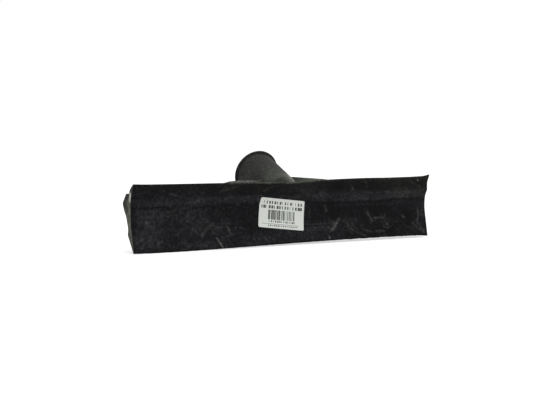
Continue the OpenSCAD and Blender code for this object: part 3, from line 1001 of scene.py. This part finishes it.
# The stored shade holds painted light and painted shade as well as the rubber's own tone.
level = node(tree, "Math", {0: shade_at, 1: SHADE_STEP, 2: speckled}, operation="MULTIPLY_ADD")
ramp = node(tree, "ValToRGB", {0: level})
colour_stops(ramp, RUBBER_RAMP)
height = node(tree, "VectorMath", {0: place, 1: (OLIVE_TO_RIGHT, 0.0, 1.0)}, operation="DOT_PRODUCT")
clouded = node(tree, "Math", {0: cloud, 1: OLIVE_CLOUD, 2: height}, operation="MULTIPLY_ADD")
olive = node(tree, "MapRange", {"Value": clouded, "From Min": OLIVE_EASE[0], "From Max": OLIVE_EASE[1]})
cast = node(tree, "Mix", {0: olive, 1: linear("f1f0fb"), 2: linear("f9ffe3")}, data_type="RGBA")
skin = node(tree, "Mix", {0: 1.0, 1: ramp, 2: cast}, data_type="RGBA", blend_type="MULTIPLY")
broken = node(tree, "MapRange", {"Value": mottle, "From Min": 0.3, "From Max": 0.6})
rub = node(tree, "Math", {0: scuff, 1: broken}, operation="MULTIPLY")
rubbed = node(tree, "Mix", {0: rub, 1: skin, 2: linear("a2a29e")}, data_type="RGBA")
print("black from", RUBBER_RAMP[0][1], "to", RUBBER_RAMP[-1][1])

# %% Black rubber: surface
RUBBER_IOR = 1.52
rough = node(tree, "MapRange", {"Value": mottle, "From Min": 0.3, "From Max": 0.7,
                                "To Min": 0.5, "To Max": 0.75})
fold_bump = node(tree, "Bump", {"Height": folds, "Strength": 0.35, "Distance": 0.5 * MM})
bump = node(tree, "Bump", {"Height": grain, "Strength": 0.3, "Distance": 0.08 * MM, "Normal": fold_bump})
surface = node(tree, "BsdfPrincipled", {"Base Color": rubbed, "Roughness": rough, "IOR": RUBBER_IOR,
                                        "Specular IOR Level": 0.07, "Normal": bump})
node(tree, "OutputMaterial", {"Surface": surface})
print(black_rubber.name, "has", len(tree.nodes), "nodes")

# %% [markdown]
# Cut rubber
#
# The ends were cut with a blade after moulding. A cut face has no moulded skin: the fillers show, so it
# is a dull olive grey, with drag lines from the knife, pores, and talc that was left in the corner
# behind the upper lip. Round its border the dark skin still shows as a thin line. Edge wear from the
# mesh's angles could draw that line, but the stored depth inside the cut gives it in millimetres. Drag
# lines and pores are finer on the real cut and are drawn coarser here, so that they show.

# %% Make the cut rubber
DRAG_MM = 0.7
DRAG_STRETCH = (1.0, 1.0, 0.12)
PORE_MM = 1.8
SKIN_MM = 0.8
CUT_SHADE_STEP = 0.35
CUT_RAMP = [(0.0, "141412"), (0.3, "30302a"), (0.5, "4a4a41"), (0.7, "66665c"), (1.0, "c2c1b8")]
cut_rubber, tree = new_material("cut_rubber")
place = node(tree, "Attribute", {}, attribute_name="rest_mm").outputs["Vector"]
shade_at = node(tree, "Attribute", {}, attribute_name="shade").outputs["Fac"]
depth = node(tree, "Attribute", {}, attribute_name="depth_mm").outputs["Fac"]
drawn = node(tree, "VectorMath", {0: place, 1: DRAG_STRETCH}, operation="MULTIPLY")
drag = node(tree, "TexNoise", {"Vector": drawn, "Scale": 1 / DRAG_MM, "Detail": 3.0})
pores = node(tree, "TexNoise", {"Vector": place, "Scale": 1 / PORE_MM, "Detail": 4.0})
stain = node(tree, "MapRange", {"Value": pores, "To Min": 0.1, "To Max": 0.9}, clamp=False)
# The stored shade here holds the cut ends' own tone, and near the top of the right end the painted highlight
# of the upper edge.
level = node(tree, "Math", {0: shade_at, 1: CUT_SHADE_STEP, 2: stain}, operation="MULTIPLY_ADD")
ramp = node(tree, "ValToRGB", {0: level})
colour_stops(ramp, CUT_RAMP)
border = node(tree, "MapRange", {"Value": depth, "From Max": SKIN_MM, "To Min": 0.7, "To Max": 0.0})
tone = node(tree, "Mix", {0: border, 1: ramp, 2: linear("1b1b19")}, data_type="RGBA")
rough = node(tree, "MapRange", {"Value": pores, "To Min": 0.75, "To Max": 0.95})
bump = node(tree, "Bump", {"Height": drag, "Strength": 0.5, "Distance": 0.1 * MM})
surface = node(tree, "BsdfPrincipled", {"Base Color": tone, "Roughness": rough, "IOR": RUBBER_IOR,
                                        "Specular IOR Level": 0.3, "Normal": bump})
node(tree, "OutputMaterial", {"Surface": surface})
print(cut_rubber.name, "has", len(tree.nodes), "nodes")

# %% [markdown]
# Socket rubber
#
# The socket is the same rubber, but its mould was blasted with grit, so its skin is matte and greyer,
# with a faint green cast from the wax that has come out of it. What faces up is paler, as dust and as
# painted light, so the colour follows the surface's own direction as well as the stored dust and painted
# light, which a plain colour couldn't. The pits of a blasted mould are a few tenths of a millimetre wide,
# and are drawn coarser so that they show.

# %% Make the socket rubber
WAX_MM = 16.0
WAX_SWING = 0.2
GRIME_MM = 3.0
BLAST_MM = 1.1
BLAST_SHARE = 0.7
DUST_AND_LIGHT_STEP = 0.15
SOCKET_RAMP = [(0.0, "0f100f"), (0.26, "242523"), (0.45, "383a36"), (0.75, "5e605a"), (1.0, "8a8b85")]
socket_rubber, tree = new_material("blasted_grey_rubber")
place = node(tree, "Attribute", {}, attribute_name="rest_mm").outputs["Vector"]
dust_and_painted_light = node(tree, "Attribute", {}, attribute_name="dust_and_painted_light").outputs["Fac"]
wax = node(tree, "TexNoise", {"Vector": place, "Scale": 1 / WAX_MM, "Detail": 5.0})
grime = node(tree, "TexNoise", {"Vector": place, "Scale": 1 / GRIME_MM, "Detail": 3.0})
blast = node(tree, "TexNoise", {"Vector": place, "Scale": 1 / BLAST_MM, "Detail": 3.0})
facing = node(tree, "SeparateXYZ", {0: node(tree, "NewGeometry", {}).outputs["Normal"]})
# What faces up is paler, as dust and as painted light from above.
upward_dust_and_light = node(tree, "MapRange", {"Value": facing.outputs["Z"], "From Min": 0.3, "From Max": 1.0,
                                  "To Min": 0.32, "To Max": 0.38})
waxy = node(tree, "MapRange", {"Value": wax, "To Min": -WAX_SWING, "To Max": WAX_SWING}, clamp=False)
grimy = node(tree, "MapRange", {"Value": grime, "To Min": -0.52, "To Max": -0.18}, clamp=False)
speckled = node(tree, "Math", {0: blast, 1: BLAST_SHARE, 2: grimy}, operation="MULTIPLY_ADD")
clouds = node(tree, "Math", {0: waxy, 1: speckled}, operation="ADD")
dust_and_light_level = node(tree, "Math", {0: dust_and_painted_light, 1: DUST_AND_LIGHT_STEP, 2: upward_dust_and_light}, operation="MULTIPLY_ADD")
level = node(tree, "Math", {0: clouds, 1: dust_and_light_level}, operation="ADD")
ramp = node(tree, "ValToRGB", {0: level})
colour_stops(ramp, SOCKET_RAMP)
rough = node(tree, "MapRange", {"Value": wax, "To Min": 0.65, "To Max": 0.9})
bump = node(tree, "Bump", {"Height": blast, "Strength": 0.4, "Distance": 0.1 * MM})
surface = node(tree, "BsdfPrincipled", {"Base Color": ramp, "Roughness": rough, "IOR": RUBBER_IOR,
                                        "Specular IOR Level": 0.18, "Normal": bump})
node(tree, "OutputMaterial", {"Surface": surface})
print(socket_rubber.name, "has", len(tree.nodes), "nodes")

# %% [markdown]
# Label paper
#
# The label is thin coated paper, white with a cold cast, printed in one dark ink. The print here is only
# plain dashes and bars: two rows of dashes, a block of bars, and small rows under it. Small meshes could
# carry it, but a print has no thickness. Each row is a band of the flat label, cut into cells, and a
# cell's dash takes a share of its width that a white noise picks. Paper fibres are a few hundredths of a
# millimetre thick, so their pattern is drawn coarser to show.

# %% Make the label paper
FIBRE_MM = 0.8
PAPER_IOR = 1.5
INK_COVER = 0.97
# Middle and half sizes of a row, width of a cell, and the least and most of it that a dash takes.
PRINT_ROWS = [
    (0.0, 9.3, 20.3, 1.3, 2.7, 0.1, 0.95), (0.0, 5.4, 20.8, 1.4, 2.7, 0.1, 0.95),
    (0.0, -1.5, 13.5, 4.3, 1.5, 0.25, 0.95), (0.0, -7.3, 13.5, 0.8, 2.1, 0.3, 0.85),
    (-1.0, -9.6, 18.5, 0.16, 60.0, 1.0, 1.0), (1.0, -11.0, 15.0, 0.5, 1.9, 0.3, 0.85),
]
label_paper, tree = new_material("coated_label_paper")
place = node(tree, "Attribute", {}, attribute_name="rest_mm").outputs["Vector"]
flat = node(tree, "SeparateXYZ", {0: place})
ink = 0.0
for row, (u, v, row_half, row_rise, cell, least, most) in enumerate(PRINT_ROWS):
    in_u = node(tree, "Math", {0: flat.outputs["X"], 1: u, 2: row_half}, operation="COMPARE")
    in_v = node(tree, "Math", {0: flat.outputs["Y"], 1: v, 2: row_rise}, operation="COMPARE")
    cells = node(tree, "Math", {0: flat.outputs["X"], 1: cell}, operation="DIVIDE")
    number = node(tree, "Math", {0: cells}, operation="FLOOR")
    inside = node(tree, "Math", {0: cells}, operation="FRACT")
    seed = node(tree, "CombineXYZ", {0: number, 1: row + 0.5})
    pick = node(tree, "TexWhiteNoise", {"Vector": seed}, noise_dimensions="2D")
    share = node(tree, "MapRange", {"Value": pick, "To Min": least, "To Max": most})
    dash = node(tree, "Math", {0: inside, 1: share}, operation="LESS_THAN")
    band = node(tree, "Math", {0: in_u, 1: in_v}, operation="MULTIPLY")
    mark = node(tree, "Math", {0: band, 1: dash}, operation="MULTIPLY")
    ink = node(tree, "Math", {0: mark, 1: ink}, operation="MAXIMUM")
fibre = node(tree, "TexNoise", {"Vector": place, "Scale": 1 / FIBRE_MM, "Detail": 4.0})
tone = node(tree, "Mix", {0: fibre, 1: linear("dfe3dc"), 2: linear("ecefe9")}, data_type="RGBA")
worn_ink = node(tree, "Math", {0: ink, 1: INK_COVER}, operation="MULTIPLY")
printed = node(tree, "Mix", {0: worn_ink, 1: tone, 2: linear("3c413e")}, data_type="RGBA")
rough = node(tree, "MapRange", {"Value": fibre, "To Min": 0.5, "To Max": 0.65})
bump = node(tree, "Bump", {"Height": fibre, "Strength": 0.15, "Distance": 0.05 * MM})
surface = node(tree, "BsdfPrincipled", {"Base Color": printed, "Roughness": rough, "IOR": PAPER_IOR,
                                        "Normal": bump})
node(tree, "OutputMaterial", {"Surface": surface})
print(label_paper.name, "has", len(tree.nodes), "nodes")

# %% [markdown]
# Iron and steel inside
#
# The bar and its saddle are hot-rolled flat iron: dark mill scale, with rust where the scale has come
# off. The tube is drawn steel with fine lines along it, and the rivets are of the same steel. New meshes
# could replace these CAD solids, but their shape is right, so they stay and only get a material. They
# have no stored places, so their patterns use object coordinates, turned to millimetres. Drawing lines
# are some hundredths of a millimetre apart, and are drawn coarser so that they show.

# %% Make the metals
RUST_MM = 5.0
LINE_MM = 0.4
LINE_STRETCH = (1.0, 0.05, 0.3)
# Bright and dull colour, metallic, and the lowest and highest roughness.
METALS = {
    "mill_scale_iron": ("3b3733", "6a4a35", 0.6, 0.5, 0.8),
    "drawn_steel": ("8f9090", "6c6b68", 1.0, 0.3, 0.5),
}
metals = {}
for name, (bright, dull, metallic, rough_low, rough_high) in METALS.items():
    metals[name], tree = new_material(name)
    metres = node(tree, "TexCoord", {}).outputs["Object"]
    place = node(tree, "VectorMath", {0: metres, "Scale": 1 / MM}, operation="SCALE")
    patches = node(tree, "TexNoise", {"Vector": place, "Scale": 1 / RUST_MM, "Detail": 6.0})
    drawn = node(tree, "VectorMath", {0: place, 1: LINE_STRETCH}, operation="MULTIPLY")
    lines = node(tree, "TexNoise", {"Vector": drawn, "Scale": 1 / LINE_MM, "Detail": 2.0})
    dulled = node(tree, "MapRange", {"Value": patches, "From Min": 0.4, "From Max": 0.65})
    tone = node(tree, "Mix", {0: dulled, 1: linear(bright), 2: linear(dull)}, data_type="RGBA")
    rough = node(tree, "MapRange", {"Value": lines, "To Min": rough_low, "To Max": rough_high})
    bump = node(tree, "Bump", {"Height": lines, "Strength": 0.25, "Distance": 0.05 * MM})
    surface = node(tree, "BsdfPrincipled", {"Base Color": tone, "Metallic": metallic, "Roughness": rough,
                                            "Normal": bump})
    node(tree, "OutputMaterial", {"Surface": surface})
    print(name, "has", len(tree.nodes), "nodes")

# %% [markdown]
# Dressing the pieces
#
# Each mesh gets its material. The socket moves with the head's body. The blade, the upper lip and the
# label are baked in place, and the CAD solids that they stand for are hidden. The iron and steel parts
# keep their CAD meshes and get their metals.

# %% Dress and attach
for piece, skins in ((blade, [black_rubber, cut_rubber]), (flap, [black_rubber, cut_rubber]),
                     (socket, [socket_rubber]), (label, [label_paper])):
    for skin in skins:
        piece.data.materials.append(skin)
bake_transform(blade)
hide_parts("spine_cover", "wiper_lip")
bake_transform(flap)
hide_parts("upper_lip")
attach(socket, "head")
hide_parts("socket_sleeve", "socket_webs")
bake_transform(label)
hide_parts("label")
for name, metal in (("core_bar", "mill_scale_iron"), ("core_saddle", "mill_scale_iron"),
                    ("saddle_rivets", "drawn_steel"), ("socket_tube", "drawn_steel")):
    for slot in frame["nodes"][name].material_slots:
        slot.material = metals[metal]
print("dressed", [piece.name for piece in (blade, flap, socket, label)])

# %% [markdown]
# Camera
#
# The camera could be moved by eye until the picture looks right. Instead it stands where a fit of the
# blade's four corners, its crease and the rim of the socket put it: a little to the left, a little
# above, and far off, with a long lens. The lens follows from the focal length in pixels of a frame
# 533 pixels wide.

# %% Place the camera
FRAME_WIDTH_PX = 533
FOCAL_PX = 1250.0
SENSOR_MM = 36.0
AZIMUTH = math.radians(-28.14)
ELEVATION = math.radians(4.55)
ROLL = math.radians(0.13)
DISTANCE_MM = 1116.7
TARGET_MM = Vector((-18.71, 9.25, 39.55))
level_back = Vector((math.sin(AZIMUTH), -math.cos(AZIMUTH), 0.0)) * math.cos(ELEVATION)
back = level_back + Vector((0.0, 0.0, math.sin(ELEVATION)))
camera = add_object("camera", bpy.data.cameras.new("camera"))
camera.data.sensor_fit = "HORIZONTAL"
camera.data.sensor_width = SENSOR_MM
camera.data.lens = FOCAL_PX / FRAME_WIDTH_PX * SENSOR_MM
camera.location = (TARGET_MM + back * DISTANCE_MM) * MM
camera.rotation_mode = "QUATERNION"
camera.rotation_quaternion = (-back).to_track_quat("-Z", "Y") @ Quaternion((0, 0, 1), ROLL)
bpy.context.scene.camera = camera
print("lens %.1f mm, camera at" % camera.data.lens, [round(v, 3) for v in camera.location])

# %% [markdown]
# Floor, world and lamp
#
# A product picture of a black thing needs broad, even light. Several lamps could give it, with several
# shadows. Here the world is a soft white tent, one large lamp above gives the surfaces that face up
# their lift, and the floor throws light back. Floor and world look plain white to the camera, in
# reflections and through clear things, and the floor still takes the shadow.

# %% Lay the floor
FLOOR_HALF = 40.0
FLOOR_LIFT = 0.46


def seen_directly(tree):
    """1 for rays from the camera, from a reflection or through a clear thing, and 0 for light."""
    path = node(tree, "LightPath", {})
    seen = path.outputs["Is Camera Ray"]
    for ray in ("Is Glossy Ray", "Is Transmission Ray"):
        seen = node(tree, "Math", {0: seen, 1: path.outputs[ray]}, operation="ADD", use_clamp=True)
    return seen


floor_z = min(v.co.z for v in blade.data.vertices)
corners = [(x * FLOOR_HALF, y * FLOOR_HALF, floor_z) for x, y in ((-1, -1), (1, -1), (1, 1), (-1, 1))]
floor_mesh = bpy.data.meshes.new("studio_floor")
floor_mesh.from_pydata(corners, [], [(0, 1, 2, 3)])
floor = add_object("studio_floor", floor_mesh)
floor_paint, tree = new_material("white_studio_floor")
lift = node(tree, "Math", {0: seen_directly(tree), 1: FLOOR_LIFT}, operation="MULTIPLY")
paint = node(tree, "BsdfDiffuse", {"Color": linear("f2f2f2")})
glow = node(tree, "Emission", {"Strength": lift})
both = node(tree, "AddShader", {0: paint, 1: glow})
node(tree, "OutputMaterial", {"Surface": both})
floor_mesh.materials.append(floor_paint)
print("floor at z %.2f mm" % (floor_z / MM))

# %% Put up the tent and the lamp
TENT_LEVEL = 0.62
LAMP_WATTS = 9.0
LAMP_SIZE = 1.4
LAMP_PLACE = Vector((0.1, -0.35, 1.5))
world = bpy.data.worlds.new("studio_tent")
world.use_nodes = True
tree = world.node_tree
tree.nodes.clear()
level = node(tree, "MapRange", {"Value": seen_directly(tree), "To Min": TENT_LEVEL, "To Max": 1.0})
tent = node(tree, "Background", {"Strength": level, "Color": (1, 1, 1, 1)})
node(tree, "OutputWorld", {"Surface": tent})
bpy.context.scene.world = world
lamp = add_object("soft_lamp", bpy.data.lights.new("soft_lamp", "AREA"))
lamp.data.energy = LAMP_WATTS
lamp.data.size = LAMP_SIZE
lamp.location = LAMP_PLACE
lamp.rotation_mode = "QUATERNION"
lamp.rotation_quaternion = (TARGET_MM * MM - LAMP_PLACE).to_track_quat("-Z", "Y")
bpy.context.scene.view_settings.view_transform = "Standard"
print("tent %.2f, lamp %.1f W" % (TENT_LEVEL, LAMP_WATTS))
